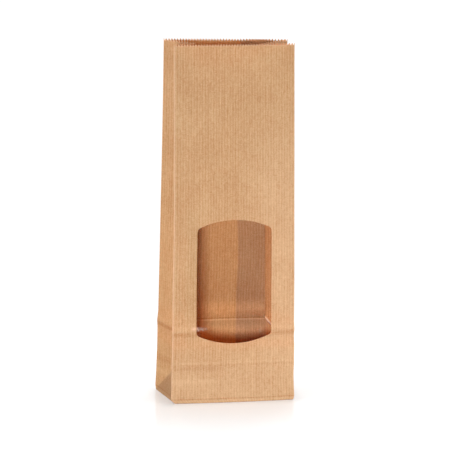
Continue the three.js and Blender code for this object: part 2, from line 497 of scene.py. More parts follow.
    def sharp(self, s: Array, h: Array) -> Array:
        """The strip with sharp folds: each panel from its own function, then the bottom.

        The bottom shrinks the rectangle by the depth under zero, so that panels meet along
        lines at 45 degrees. The front flap lies lowest, the others rise above its thickness.

        Args:
            s: distances along the strip.
            h: heights on the flat sheet.

        Returns:
            Points.
        """
        up = np.maximum(h, 0.0)
        down = np.maximum(-h, 0.0)
        stretch = read_off(self.seam_strays, up) / (self.width - self.seam_from)
        from_right = (s - self.back_right) * (1 + stretch)
        inner = self.layer_gap * smooth_step(
            (from_right - self.layer_start) / self.layer_reach)
        point = self.back(self.seam_to - s, up)
        for start, panel in (
            (self.back_left, self.gusset(
                BACK_LEFT, FRONT_LEFT, (s - self.back_left) / self.fold, up)),
            (self.left_fold, self.gusset(
                FRONT_LEFT, BACK_LEFT, (self.front_left - s) / self.fold, up)),
            (self.front_left, self.front((s - self.front_left) / self.width, up)),
            (self.front_right, self.gusset(
                FRONT_RIGHT, BACK_RIGHT, (s - self.front_right) / self.fold, up)),
            (self.right_fold, self.gusset(
                BACK_RIGHT, FRONT_RIGHT, (self.back_right - s) / self.fold, up)),
            (self.back_right, self.back(self.width - from_right, up, inner)),
        ):
            point = np.where((s >= start)[..., None], panel, point)
        point[..., 0] *= 1 - down / (self.width / 2)
        point[..., 1] *= 1 - down / (self.depth / 2)
        is_front = (s >= self.front_left) & (s <= self.front_right)
        lift = np.where(is_front, 0.0, self.flap_lift) * smooth_step(down / self.flap_reach)
        layer = np.where(s > self.back_right, inner, 0.0) * smooth_step(
            down / self.flap_layer_reach)
        point[..., 2] += self.rest + lift + layer
        return point

    def pressed(self, s: Array, h: Array) -> Array:
        """The strip with rounded folds: the mean of nine points of the sharp one around each.

        Args:
            s: distances along the strip.
            h: heights on the flat sheet.

        Returns:
            Points.
        """
        total = np.zeros(s.shape + (3,))
        for shift_s, weight_s in self.bends:
            for shift_h, weight_h in self.bends:
                near = self.sharp(s + shift_s * self.bend_along, h + shift_h * self.bend_up)
                total += weight_s * weight_h * near
        return total


@dataclass
class PaperBag:
    """The bag's folded paper: strip, pinked mouth, window and folded bottom."""

    tube: FoldedTube = field(default_factory=FoldedTube)
    window: WindowOutline = field(default_factory=WindowOutline)
    thickness: float = 0.18
    tooth_pitch: float = 1.6
    tooth_depth: float = 1.4
    front_flap: float = 25.0
    other_flaps: float = 19.4
    block_sides: Span = (6.5, 63.5)
    block_low: float = 25.0
    block_high: float = 112.0
    rings: tuple[float, ...] = (0.0, 0.06, 0.2, 0.45, 0.72)
    foot: float = 2.4
    window_foot: float = 48.0
    mouth_row: float = 2.2
    flap_rows: int = 8
    window_rows: int = 30
    upper_rows: int = 28
    even_rows: tuple[tuple[float, float, int], ...] = ((6.5, 17.0, 6), (27.5, 36.0, 6))
    close_rows: tuple[float, ...] = (
        -1.5, -0.9, -0.45, 0.0, 0.45, 0.9, 1.4, 1.9, 2.4, 2.9, 3.6, 4.8,
        18.2, 19.4, 20.4, 21.0, 21.6, 22.4, 23.6,
        37.2, 38.4, 39.4, 40.0, 40.6, 41.2, 42.0, 43.0, 44.0, 45.0, 46.0,
    )

    def stations(self) -> Array:
        """Distances along the strip, two to a tooth, with one on every fold.

        Returns:
            The distances, from the outer glued edge on.
        """
        tube = self.tube
        breaks = [0.0, tube.back_left, tube.left_fold, tube.front_left, tube.front_right,
                  tube.right_fold, tube.back_right, tube.length]
        parts = []
        for start, end in zip(breaks, breaks[1:]):
            teeth = round((end - start) / self.tooth_pitch)
            parts.append(np.linspace(start, end, 2 * teeth + 1)[:-1])
        return np.append(np.concatenate(parts), tube.length)

    def rows(self) -> Array:
        """Heights on the flat sheet, close together at the creases.

        Returns:
            The heights, from the lowest flap's edge up.
        """
        top = self.tube.height
        return np.sort(np.concatenate([
            [-self.front_flap, -(self.front_flap + self.other_flaps) / 2],
            np.linspace(-self.other_flaps, -self.foot, self.flap_rows),
            *(np.linspace(*run) for run in self.even_rows),
            self.close_rows, [self.block_low],
            np.linspace(self.window_foot, self.block_high, self.window_rows),
            np.linspace(self.block_high, top - self.mouth_row, self.upper_rows)[1:],
            [top],
        ]))

    def window_ring(self, s: Array, h: Array, loop: Array) -> tuple[Array, Array, Array]:
        """Fills the block round the window with rings from its outline to the block's edge.

        Each point of the block's edge is joined to the outline's point in the same direction
        from the window's centre, and the rings lie on these lines.

        Args:
            s: distances along the strip of all grid points.
            h: their heights.
            loop: numbers of the points round the block, counter-clockwise.

        Returns:
            New distances, new heights, and quads.
        """
        middle = self.tube.front_left + self.tube.width / 2
        across, up = s[loop] - middle, h[loop] - self.window.centre
        away = np.hypot(across, up)
        reach = self.window.reach(across / away, up / away)
        share = np.array(self.rings)[:, None]
        radius = reach + (away - reach) * share
        new_s = middle + radius * across / away
        new_h = self.window.centre + radius * up / away
        first, count = len(s), len(loop)
        numbers = first + np.arange(len(self.rings) * count).reshape(-1, count)
        numbers = np.concatenate([numbers, loop[None, :]])
        inner, outer = numbers[:-1], numbers[1:]
        quads = np.stack([inner, outer, np.roll(outer, -1, 1), np.roll(inner, -1, 1)], axis=-1)
        return new_s.ravel(), new_h.ravel(), quads.reshape(-1, 4)

    def pattern(self, s: Array, h: Array, points: Array) -> Array:
        """Place of each point on the flat sheet: on the bottom the flaps keep their true width.

        Args:
            s: distances along the strip.
            h: heights on the flat sheet.
            points: the folded points.

        Returns:
            Along and up for each point.
        """
        tube = self.tube
        on_front = tube.front_left + tube.width / 2 + points[:, 0]
        left_side = tube.left_fold - points[:, 1]
        right_side = tube.right_fold + points[:, 1]
        on_back = tube.seam_to - tube.width / 2 - points[:, 0]
        inner_back = tube.back_right + tube.width / 2 - points[:, 0]
        under = np.select(
            [s < tube.back_left, s < tube.front_left, s <= tube.front_right,
             s <= tube.back_right],
            [on_back, left_side, on_front, right_side], inner_back)
        return np.stack([np.where(h < 0, under, s), h], axis=-1)

    def build(self) -> bpy.types.Object:
        """Lays the grid on the strip, opens the window, drops the cells past the short flaps.

        Returns:
            The paper's object.
        """
        tube = self.tube
        columns, rows = self.stations(), self.rows()
        s, h = (part.ravel() for part in np.meshgrid(columns, rows))
        top = slice(len(s) - len(columns), None)
        h[top] -= self.tooth_depth * (np.arange(len(columns)) % 2)
        cells = grid_quads(len(columns), len(rows))
        cell_s, cell_h = columns[:-1], rows[:-1]
        left, right = (tube.front_left + side for side in self.block_sides)
        lo, hi = np.searchsorted(columns, [left, right])
        low = np.searchsorted(rows, self.block_low)
        high = np.searchsorted(rows, self.block_high)
        on_front = (cell_s >= tube.front_left) & (cell_s < tube.front_right)
        keep = (cell_h >= -self.other_flaps)[:, None] | on_front[None, :]
        keep[low:high, lo:hi] = False
        number = np.arange(len(s)).reshape(len(rows), len(columns))
        loop = np.concatenate([
            number[low, lo:hi], number[low:high, hi],
            number[high, hi:lo:-1], number[high:low:-1, lo],
        ])
        ring_s, ring_h, ring = self.window_ring(s, h, loop)
        s, h = np.append(s, ring_s), np.append(h, ring_h)
        quads = np.concatenate([cells[keep], ring])
        points = tube.pressed(s, h)
        sheet = ThinSheet(tube.pressed, self.thickness, s, h, quads, self.pattern(s, h, points))
        return make_object("folded_paper", *sheet.shell())


@dataclass
class WindowFilm:
    """The clear film glued behind the front panel."""

    tube: FoldedTube = field(default_factory=FoldedTube)
    window: WindowOutline = field(default_factory=WindowOutline)
    overlap: float = 6.0
    thickness: float = 0.05
    behind: float = 0.2
    spacing: float = 0.9

    def pane(self, across: Array, h: Array) -> Array:
        """The front panel's surface, moved back.

        Args:
            across: distance from the panel's middle.
            h: heights.

        Returns:
            Points.
        """
        middle = self.tube.front_left + self.tube.width / 2
        point = self.tube.pressed(middle + across, h)
        point[..., 1] += self.behind
        return point

    def build(self) -> bpy.types.Object:
        """Lays an even grid over the window and the overlap round it.

        Returns:
            The film's object.
        """
        half = self.window.width / 2 + self.overlap
        tall = self.window.height / 2 + self.overlap
        across = np.linspace(-half, half, round(2 * half / self.spacing) + 1)
        up = self.window.centre + np.linspace(-tall, tall, round(2 * tall / self.spacing) + 1)
        a, b = (part.ravel() for part in np.meshgrid(across, up))
        quads = grid_quads(len(across), len(up)).reshape(-1, 4)
        sheet = ThinSheet(self.pane, self.thickness, a, b, quads, np.stack([a, b], axis=-1))
        return make_object("clear_pane", *sheet.shell())


# ---- finishes ------------------------------------------------------------------------------


class Blend(Enum):
    """Ways to mix two colours."""

    MIX = "MIX"
    ADD = "ADD"
    MULTIPLY = "MULTIPLY"


def opaque(colour: Colour) -> tuple[float, float, float, float]:
    """Returns the colour with full cover, as a shader's socket takes it."""
    return (*colour, 1.0)


class Value:
    """A number that varies over a surface: arithmetic on it adds Math nodes."""

    def __init__(self, graph: "Graph", socket: bpy.types.NodeSocket) -> None:
        """Keeps the graph and the socket."""
        self.graph = graph
        self.socket = socket

    def math(self, operation: str, *others: "Value | float") -> "Value":
        """Adds a Math node.

        Args:
            operation: its operation.
            others: second and third input.

        Returns:
            The node's output.
        """
        inputs = dict(enumerate((self, *others)))
        return self.graph.value("ShaderNodeMath", {"operation": operation}, inputs)

    def __add__(self, other: "Value | float") -> "Value":
        """Sum."""
        return self.math("ADD", other)

    __radd__ = __add__

    def __sub__(self, other: "Value | float") -> "Value":
        """Difference."""
        return self.math("SUBTRACT", other)

    def __rsub__(self, other: float) -> "Value":
        """A number minus this."""
        return (self * -1.0) + other

    def __mul__(self, other: "Value | float") -> "Value":
        """Product."""
        return self.math("MULTIPLY", other)

    __rmul__ = __mul__

    def __neg__(self) -> "Value":
        """This with the other sign."""
        return self * -1.0

    def sine(self) -> "Value":
        """Sine of this in radians."""
        return self.math("SINE")

    def size(self) -> "Value":
        """This without its sign."""
        return self.math("ABSOLUTE")

    def root(self) -> "Value":
        """Square root."""
        return self.math("SQRT")

    def at_least(self, other: "Value | float") -> "Value":
        """The larger of the two."""
        return self.math("MAXIMUM", other)

    def at_most(self, other: "Value | float") -> "Value":
        """The smaller of the two."""
        return self.math("MINIMUM", other)

    def ramp(self, start: float, end: float) -> "Value":
        """Smooth step.

        Args:
            start: where it is 0.
            end: where it is 1.

        Returns:
            The step.
        """
        settings = {"interpolation_type": "SMOOTHSTEP"}
        inputs = {"Value": self, "From Min": start, "From Max": end}
        return self.graph.value("ShaderNodeMapRange", settings, inputs)

    def within(self, rise: Span, fall: Span) -> "Value":
        """Soft band: a smooth step up over the first span and down over the second."""
        return self.ramp(*rise) * (1.0 - self.ramp(*fall))

    def line(self, centre: float, half_width: float) -> "Value":
        """Soft line: 1 at the centre, 0 from half its width on."""
        return 1.0 - (self - centre).size().ramp(0.0, half_width)


class Graph:
    """The node tree of one material or world."""

    def __init__(self, owner: bpy.types.Material | bpy.types.World) -> None:
        """Takes over the owner's tree and empties it.

        Args:
            owner: a new material or world.
        """
        self.owner = owner
        owner.use_nodes = True
        self.tree = owner.node_tree
        self.tree.nodes.clear()

    def node(
        self, kind: str, settings: Mapping | None = None, inputs: Mapping | None = None
    ) -> bpy.types.Node:
        """Adds a node.

        Args:
            kind: the node's type.
            settings: its own settings, set first.
            inputs: values or links for its sockets, by name or number.

        Returns:
            The node.
        """
        node = self.tree.nodes.new(kind)
        for key, setting in (settings or {}).items():
            setattr(node, key, setting)
        for key, given in (inputs or {}).items():
            if isinstance(given, Value):
                given = given.socket
            if isinstance(given, bpy.types.NodeSocket):
                self.tree.links.new(given, node.inputs[key])
            else:
                node.inputs[key].default_value = given
        return node

    def value(
        self, kind: str, settings: Mapping | None = None, inputs: Mapping | None = None
    ) -> Value:
        """Adds a node and returns its first output as a number."""
        return Value(self, self.node(kind, settings, inputs).outputs[0])

    def shader(self, kind: str, inputs: Mapping) -> bpy.types.NodeSocket:
        """Adds a shader and returns its output."""
        return self.node(kind, None, inputs).outputs[0]

    def parts(self, place: bpy.types.NodeSocket) -> tuple[Value, Value]:
        """Splits a place and turns its first two parts into millimetres.

        Args:
            place: the place in metres.

        Returns:
            The two parts.
        """
        split = self.node("ShaderNodeSeparateXYZ", None, {"Vector": place})
        first, second = (Value(self, split.outputs[i]) * (1.0 / MM) for i in range(2))
        return first, second

    def flat_sheet(self) -> bpy.types.NodeSocket:
        """Returns the place on the flat sheet in metres, from the piece's own map."""
        return self.node("ShaderNodeUVMap", {"uv_map": FLAT_SHEET}).outputs[0]

    def noise(self, place: bpy.types.NodeSocket, rates: Span, detail: float) -> Value:
        """Adds noise with values round 0.5.

        Args:
            place: where it is read, in metres.
            rates: how fast it changes in the first two directions, per metre.
            detail: how many finer layers are added to it.

        Returns:
            The noise.
        """
        scaled = {"Vector": place, "Scale": (*rates, 1.0)}
        stretched = self.node("ShaderNodeMapping", None, scaled).outputs[0]
        inputs = {"Vector": stretched, "Scale": 1.0, "Detail": detail,
                  "Roughness": NOISE_ROUGHNESS}
        return self.value("ShaderNodeTexNoise", None, inputs)

    def mix(
        self,
        factor: Value | float,
        first: "bpy.types.NodeSocket | Colour",
        second: "bpy.types.NodeSocket | Colour",
        blend: Blend = Blend.MIX,
    ) -> bpy.types.NodeSocket:
        """Mixes two colours.

        Args:
            factor: share of the second.
            first: a link or a colour.
            second: a link or a colour.
            blend: the way.

        Returns:
            The mixed colour's socket.
        """
        colours = [opaque(c) if isinstance(c, tuple) else c for c in (first, second)]
        settings = {"data_type": "RGBA", "blend_type": blend.value, "clamp_factor": False}
        inputs = {0: factor, MIX_FIRST: colours[0], MIX_SECOND: colours[1]}
        return self.node("ShaderNodeMix", settings, inputs).outputs[MIX_RESULT]

    def tinted(
        self, colour: bpy.types.NodeSocket, tints: Sequence[tuple[Value, Colour]]
    ) -> bpy.types.NodeSocket:
        """Multiplies a colour by each tint in turn, as far as the tint's mask reaches.

        Args:
            colour: the colour.
            tints: pairs of a mask and a tint.

        Returns:
            The tinted colour's socket.
        """
        for mask, tint in tints:
            colour = self.mix(mask, colour, tint, Blend.MULTIPLY)
        return colour

    def mix_shaders(
        self,
        share: Value | float,
        first: bpy.types.NodeSocket,
        second: bpy.types.NodeSocket,
    ) -> bpy.types.NodeSocket:
        """Adds a Mix Shader that gives the second shader its share, and returns its output."""
        return self.shader("ShaderNodeMixShader", {0: share, 1: first, 2: second})

    def finish(self, shader: bpy.types.NodeSocket) -> bpy.types.Material:
        """Joins the shader to the material's output and returns the material."""
        self.node("ShaderNodeOutputMaterial", None, {"Surface": shader})
        return self.owner


@dataclass(frozen=True)
class LightShadeBand:
    """A soft band of painted light or shade: lighter where its strength is positive, darker below 0.
    """

    height: float
    half_width: float
    strength: float

    def tone(self, up: Value) -> Value:
        """Returns its strength on its middle line, fading to 0 on both sides."""
        return up.line(self.height, self.half_width) * self.strength


@dataclass(frozen=True)
class SoftSpot:
    """A soft spot: its middle and half its size in two directions, and its strength."""

    along: float
    half_along: float
    height: float
    half_height: float
    strength: float

    def mask(self, along: Value, up: Value) -> Value:
        """Returns the product of a soft line in each direction and the strength."""
        across_it = up.line(self.height, self.half_height)
        return along.line(self.along, self.half_along) * across_it * self.strength


@dataclass(frozen=True)
class Grain:
    """Noise in the paper: its rates along and up per metre, and what it adds to tone and relief."""

    rates: Span
    detail: float
    tone: float
    relief: float = 0.0

    def noise(self, graph: Graph, sheet: bpy.types.NodeSocket) -> Value:
        """Returns the noise on the flat sheet, round 0."""
        return graph.noise(sheet, self.rates, self.detail) - 0.5


@dataclass(frozen=True)
class BrownPaper:
    """Ribbed brown wrapping paper: pressed ribs, fibres, pale folds, light through it, and
    painted light and shade.

    The light and dark colours are the paper's own. Pale is wear and in part a painted highlight,
    glint a painted highlight, and the added colour painted light. The tints after it multiply
    them as painted light and shade.
    A span is where a soft step starts and ends: heights, or distances from where its comment says.
    """

    tube: FoldedTube
    light: Colour = (0.680, 0.478, 0.258)
    dark: Colour = (0.497, 0.288, 0.130)
    pale: Colour = (0.84, 0.62, 0.40)
    glint: Colour = (1.0, 0.82, 0.64)
    through: Colour = (0.90, 0.35, 0.03)
    # painted light: added at the front panel's right and foot, which look lighter and whiter
    added_light: Colour = (0.043, 0.048, 0.041)  # added to the paper's colour

    # painted light: the whole inner skin lighter
    inside: Colour = (1.15, 1.15, 1.0)
    # painted shade: the back's inner layer darker where the seam lies double
    doubled_shade: Colour = (0.93, 0.86, 0.95)
    # painted light: the inside of the right gusset's front half warmer
    right_side: Colour = (1.06, 0.88, 0.86)
    lit_inside: Colour = (1.35, 1.38, 1.38)
    sill_shade: Colour = (1.0, 0.92, 0.6)
    # painted shade: the upper front darker
    high_front_shade: Colour = (0.915, 0.935, 0.93)
    # painted light: the lower left gusset lighter
    low_side_light: Colour = (1.04, 1.01, 0.94)
    # painted shade: the gussets' bottom triangles darker
    tucked_side_shade: Colour = (0.865, 0.855, 0.88)

    see_through: float = 0.33
    roughness: float = 0.62
    refraction: float = 1.35
    bump: float = 0.35
    bump_depth: float = 0.06

    rib_pitch: float = 1.58
    rib_tone: float = 0.21
    rib_relief: float = 0.25
    wander: float = 1.6
    wander_rates: Span = (300.0, 20.0)
    streak: Grain = Grain((620.0, 22.0), 2.0, 0.75)
    fibre: Grain = Grain((1500.0, 160.0), 3.0, 1.3, relief=0.45)
    mottle: Grain = Grain((520.0, 520.0), 1.0, 0.9)
    fleck: Grain = Grain((1500.0, 1500.0), 2.0, 1.9, relief=0.25)
    cloud: Grain = Grain((60.0, 60.0), 2.0, 0.6)

    panel_soft: float = 0.5  # width of the step where marks change at a fold
    front_soft: float = 0.1  # half of it round the front panel
    # painted light and shade beside the creases: paler bands above, darker ones below, and at the foot
    # a dark line over a paler strip
    outside: tuple[LightShadeBand, ...] = (
        LightShadeBand(42.6, 2.4, 0.25), LightShadeBand(39.0, 2.0, -0.50),
        LightShadeBand(22.6, 1.0, 0.20), LightShadeBand(21.2, 0.9, -0.18),
        LightShadeBand(2.4, 0.5, -0.55), LightShadeBand(1.0, 1.2, 0.30),
    )
    # painted shade and light at the lower creases, on the left gusset and the front's left part
    outside_left: tuple[LightShadeBand, ...] = (
        LightShadeBand(19.2, 2.2, -0.30), LightShadeBand(12.2, 2.4, 0.25),
    )
    left_end: Span = (-12.0, -2.0)  # from the front panel's middle
    # painted light and shade along the back's crease: a pale line with a dark one just above
    at_back: tuple[LightShadeBand, ...] = (
        LightShadeBand(39.2, 0.6, 1.1), LightShadeBand(40.2, 0.6, -0.6),
    )
    # painted light: a paler band on the inner skin round the shoulder crease
    inner_lit_band: LightShadeBand = LightShadeBand(35.5, 6.5, 0.7)
    tuck_soft: float = 1.5
    # painted shade on the bottom triangles, taken off the tone
    tuck_shade: float = 0.2

    worn_half: float = 0.7
    # the front left fold's pale line is wear and a painted highlight, growing higher up
    front_edge_highlight: tuple[float, float] = (0.4, 0.9)  # centre from the front left edge, and half width
    highlight_least: float = 0.5
    highlight_gain: float = 0.75
    highlight_rise: Span = (5.0, 35.0)
    pale_share: float = 0.5
    pale_fleck: float = 0.6
    cut: Span = (1.8, 0.8)  # down from the mouth
    cut_share: float = 0.5

    # where the painted light lies on the front: its right part below the top, and its foot
    light_right: Span = (32.0, 60.0)  # from the front left edge
    light_top: Span = (110.0, 190.0)
    light_foot: Span = (5.0, 48.0)
    # painted glint on the paper at the window's lower left crease
    crease_glint_spot: SoftSpot = SoftSpot(12.2, 1.7, 42.4, 1.9, 0.35)  # from the front left edge
    side_top: Span = (40.0, 190.0)
    high_from: float = 70.0
    second_layer: Span = (4.0, 7.0)  # from the back right edge
    gusset_soft: float = 1.0
    lit_bands: tuple[LightShadeBand, ...] = (
        LightShadeBand(45.0, 8.5, 1.15), LightShadeBand(32.5, 5.0, 1.0),
    )
    sill: Span = (25.0, 31.0)
    # painted highlight on the right gusset's fold where it turns out at the shoulder
    kink_glint: SoftSpot = SoftSpot(-0.9, 1.9, 43.0, 4.2, 1.2)  # from the right gusset's fold

    def on_back(self, along: Value) -> Value:
        """Mask of the strip's two ends, which make the back panel.

        Args:
            along: distance along the strip.

        Returns:
            The mask.
        """
        tube, soft = self.tube, self.panel_soft
        before = 1.0 - along.ramp(tube.back_left - soft, tube.back_left)
        return before.at_least(along.ramp(tube.back_right, tube.back_right + soft))

    def on_front(self, along: Value) -> Value:
        """Mask of the front panel.

        Args:
            along: distance along the strip.

        Returns:
            The mask.
        """
        left, right = self.tube.front_left, self.tube.front_right
        soft = self.front_soft
        return along.within((left - soft, left + soft), (right - soft, right + soft))

    def tucked(self, along: Value, up: Value) -> Value:
        """Mask of the gussets' bottom triangles, which lean in from the bottom.

        A triangle ends where the height passes half a gusset less the distance from its fold.

        Args:
            along: distance along the strip.
            up: height on the flat sheet.

        Returns:
            The mask.
        """
        left, right = (
            (self.tube.fold - (along - fold).size() - up).ramp(0.0, self.tuck_soft)
            for fold in (self.tube.left_fold, self.tube.right_fold))
        return (left + right) * up.ramp(-self.panel_soft, self.panel_soft)

    def creases(self, along: Value, up: Value) -> Value:
        """Painted light and shade beside the creases, each set on its own panels.

        Args:
            along: distance along the strip.
            up: height on the flat sheet.

        Returns:
            The tone, zero away from creases.
        """
        middle = self.tube.front_left + self.tube.width / 2
        start, end = (middle + shift for shift in self.left_end)
        back = self.on_back(along)
        left = (1.0 - back) * (1.0 - along.ramp(start, end))
        sets = (((1.0 - back), self.outside), (left, self.outside_left), (back, self.at_back))
        return sum(mask * sum(line.tone(up) for line in lines) for mask, lines in sets)

    def wear_and_highlight(self, along: Value, up: Value, fleck: Value) -> Value:
        """Share of pale paper: flecked soft lines of wear on the upright folds, the front left one
        also a painted highlight that grows higher up, and the cut edge.

        Args:
            along: distance along the strip.
            up: height on the flat sheet.
            fleck: fine noise round 0.

        Returns:
            The share.
        """
        tube = self.tube
        shift, half = self.front_edge_highlight
        strength = self.highlight_least + up.ramp(*self.highlight_rise) * self.highlight_gain
        folds = along.line(tube.front_left + shift, half) * strength
        for fold in (tube.back_left, tube.front_right, tube.back_right):
            folds = folds.at_least(along.line(fold, self.worn_half))
        start, end = (tube.height - down for down in self.cut)
        cut = up.ramp(start, end) * (1.0 - self.on_back(along)) * self.cut_share
        return (folds * (self.pale_share + fleck * self.pale_fleck)).at_least(cut)

    def added_light_share(self, along: Value, up: Value) -> Value:
        """Share of painted light, which makes the front panel lighter and whiter at its right and
        foot.

        Args:
            along: distance along the strip.
            up: height on the flat sheet.

        Returns:
            The share.
        """
        start, end = (self.tube.front_left + shift for shift in self.light_right)
        right = along.ramp(start, end) * (1.0 - up.ramp(*self.light_top))
        return right.at_least(1.0 - up.ramp(*self.light_foot)) * self.on_front(along)

    def outer_tints(self, along: Value, up: Value, inner: Value) -> list[tuple[Value, Colour]]:
        """Broad tints of painted light and shade on the outer skin.

        Painted shade lies on the upper front and on the bottom triangles, painted light on the
        lower left gusset.

        Args:
            along: distance along the strip.
            up: height on the flat sheet.
            inner: 1 on the inner skin.

        Returns:
            Pairs of a mask and a tint.
        """
        tube, soft = self.tube, self.panel_soft
        left_side = along.within(
            (tube.back_left - soft, tube.back_left + soft),
            (tube.front_left - soft, tube.front_left))
        high = self.on_front(along) * up.ramp(self.high_from, tube.height) * (1.0 - inner)
        return [
            (high, self.high_front_shade),
            ((1.0 - up.ramp(*self.side_top)) * left_side, self.low_side_light),
            (self.tucked(along, up), self.tucked_side_shade),
        ]

    def inner_tints(self, along: Value, up: Value, inner: Value) -> list[tuple[Value, Colour]]:
        """Broad tints of painted light and shade on the inner skin.

        Painted light lies on all of it, warms the front half of the right gusset and lies beside
        the creases; painted shade lies on the back's second layer and at the foot.

        Args:
            along: distance along the strip.
            up: height on the flat sheet.
            inner: 1 on the inner skin.

        Returns:
            Pairs of a mask and a tint.
        """
        tube, soft = self.tube, self.panel_soft
        start, end = (tube.back_right + shift for shift in self.second_layer)
        beside = along.within(
            (tube.front_right, tube.front_right + self.gusset_soft),
            (tube.right_fold - soft, tube.right_fold + soft))
        return [
            (inner, self.inside),
            (inner * along.ramp(start, end), self.doubled_shade),
            (inner * beside, self.right_side),
            (inner * sum(band.tone(up) for band in self.lit_bands), self.lit_inside),
            (inner * (1.0 - up.ramp(*self.sill)), self.sill_shade),
        ]

    def material(self) -> bpy.types.Material:
        """Builds the material on the flat sheet's map.

        Ribs are a sine along the sheet. Streaks and fibres are noise stretched along the ribs,
        mottle, flecks and clouds are even noise. The tone they make, with painted light and shade
        at the creases, painted shade on the bottom triangles and a painted light band on the inner
        skin, goes from the dark colour to the light one. Pale wear on the folds with a painted
        highlight on the front left one, a painted glint, painted light and the tints of painted
        light and shade lie over it, and last a painted highlight on the right gusset's fold.

        Returns:
            The material.
        """
        graph = Graph(bpy.data.materials.new("brown_ribbed_paper"))
        sheet = graph.flat_sheet()
        along, up = graph.parts(sheet)
        skin = graph.node("ShaderNodeAttribute", {"attribute_name": INNER_SKIN})
        inner = Value(graph, skin.outputs["Fac"])
        wander = graph.noise(sheet, self.wander_rates, 1.0)
        rib = (along * (2 * np.pi / self.rib_pitch) + wander * self.wander).sine()
        grains = (self.streak, self.fibre, self.mottle, self.fleck, self.cloud)
        noises = {grain: grain.noise(graph, sheet) for grain in grains}
        tone = rib * self.rib_tone
        height = rib * self.rib_relief
        for grain, noise in noises.items():
            tone = tone + noise * grain.tone
            if grain.relief:
                height = height + noise * grain.relief
        # painted light and shade at the creases, painted shade on the bottom triangles
        tone = tone + self.creases(along, up) - self.tucked(along, up) * self.tuck_shade + 0.5
        # painted light band on the inner skin
        tone = tone + inner * self.inner_lit_band.tone(up)
        colour = graph.mix(tone, self.dark, self.light)
        # pale wear on the folds and cut edge, and a painted highlight on the front left fold
        colour = graph.mix(self.wear_and_highlight(along, up, noises[self.fleck]), colour, self.pale)
        # painted glint
        crease_glint_spot = self.crease_glint_spot.mask(along - self.tube.front_left, up)
        colour = graph.mix(crease_glint_spot, colour, self.glint)
        # painted light at the front's right and foot
        colour = graph.mix(self.added_light_share(along, up), colour, self.added_light, Blend.ADD)
        # tints of painted light and shade
        colour = graph.tinted(colour, self.outer_tints(along, up, inner))
        colour = graph.tinted(colour, self.inner_tints(along, up, inner))
        # painted highlight on the right gusset's fold, inner skin only
        kink_glint = self.kink_glint.mask(along - self.tube.right_fold, up).at_most(1.0)
        colour = graph.mix(inner * kink_glint, colour, self.glint)
        relief = graph.node("ShaderNodeBump", None, {
            "Strength": self.bump, "Distance": self.bump_depth * MM, "Height": height})
        surface = graph.shader("ShaderNodeBsdfPrincipled", {
            "Base Color": colour, "Roughness": self.roughness, "IOR": self.refraction,
            "Normal": relief.outputs[0]})
        glow = graph.shader("ShaderNodeBsdfTranslucent", {"Color": opaque(self.through)})
        return graph.finish(graph.mix_shaders(self.see_through, surface, glow))


@dataclass(frozen=True)
class ClearFilm:
    """Thin clear film that shows only painted glints where a crease has bent it and painted shade
    along its left edge.
    """

    body: float = 0.05
    clear: Colour = (0.02, 0.018, 0.015)
    roughness: float = 0.12
    gloss: float = 0.15
    full_glint: float = 0.05  # cover from which a mark has its whole colour
    glint_white: Colour = (1.0, 0.92, 0.8)
    # painted glints on the film's crease at the lower left: a soft band and slanted dashes
    crease_glint: LightShadeBand = LightShadeBand(42.2, 2.1, 0.025)
    dashes: LightShadeBand = LightShadeBand(42.2, 1.3, 0.08)
    crease_end: Span = (-17.5, -14.0)
    dash_pitch: float = 2.4
    dash_slant: float = 0.5
    dash_edge: Span = (0.5, 1.0)  # of the sine that makes the dashes
    # painted glints at the lower right: a short streak, and a slanted warm one on the bend
    streak: SoftSpot = SoftSpot(14.9, 1.0, 40.4, 2.6, 0.03)
    bend: SoftSpot = SoftSpot(57.9, 0.8, 46.2, 3.0, 0.16)
    bend_slant: float = 0.83
    bend_glint_tint: Colour = (1.0, 0.66, 0.42)
    # painted shade along the film's left edge, in dark orange
    edge_shade: float = 0.34
    edge_shade_span: Span = (-21.3, -18.0)
    edge_shade_tint: Colour = (0.10, 0.022, 0.0)

    def material(self) -> bpy.types.Material:
        """Builds a nearly clear glossy material with painted glints where the film is bent and
        painted shade along its left edge.

        A white painted glint with slanted dashes lies on the crease at the lower left, two short
        painted glints at the lower right, the slanted one warmer, and a dark orange line of
        painted shade along the left edge.

        Returns:
            The material.
        """
        graph = Graph(bpy.data.materials.new("clear_film"))
        across, up = graph.parts(graph.flat_sheet())
        reach = 1.0 - across.ramp(*self.crease_end)
        slant = (across + up * self.dash_slant) * (2 * np.pi / self.dash_pitch)
        dash = slant.sine().ramp(*self.dash_edge) * self.dashes.tone(up) * reach
        bend = self.bend.mask(across + up * self.bend_slant, up)
        # painted glints
        glints = self.crease_glint.tone(up) * reach + dash + self.streak.mask(across, up) + bend
        glint_share = glints.ramp(0.0, self.full_glint)
        # painted shade along the left edge
        glued = 1.0 - across.ramp(*self.edge_shade_span)
        colour = graph.mix(glued, self.clear, self.edge_shade_tint)
        colour = graph.mix(glint_share, colour, self.glint_white)
        colour = graph.mix(bend.ramp(0.0, self.full_glint), colour, self.bend_glint_tint)
        cover = glints + glued * (1.0 - glint_share) * self.edge_shade + self.body
        return graph.finish(graph.shader("ShaderNodeBsdfPrincipled", {
            "Base Color": colour, "Roughness": self.roughness,
            "Specular IOR Level": self.gloss, "Alpha": cover}))


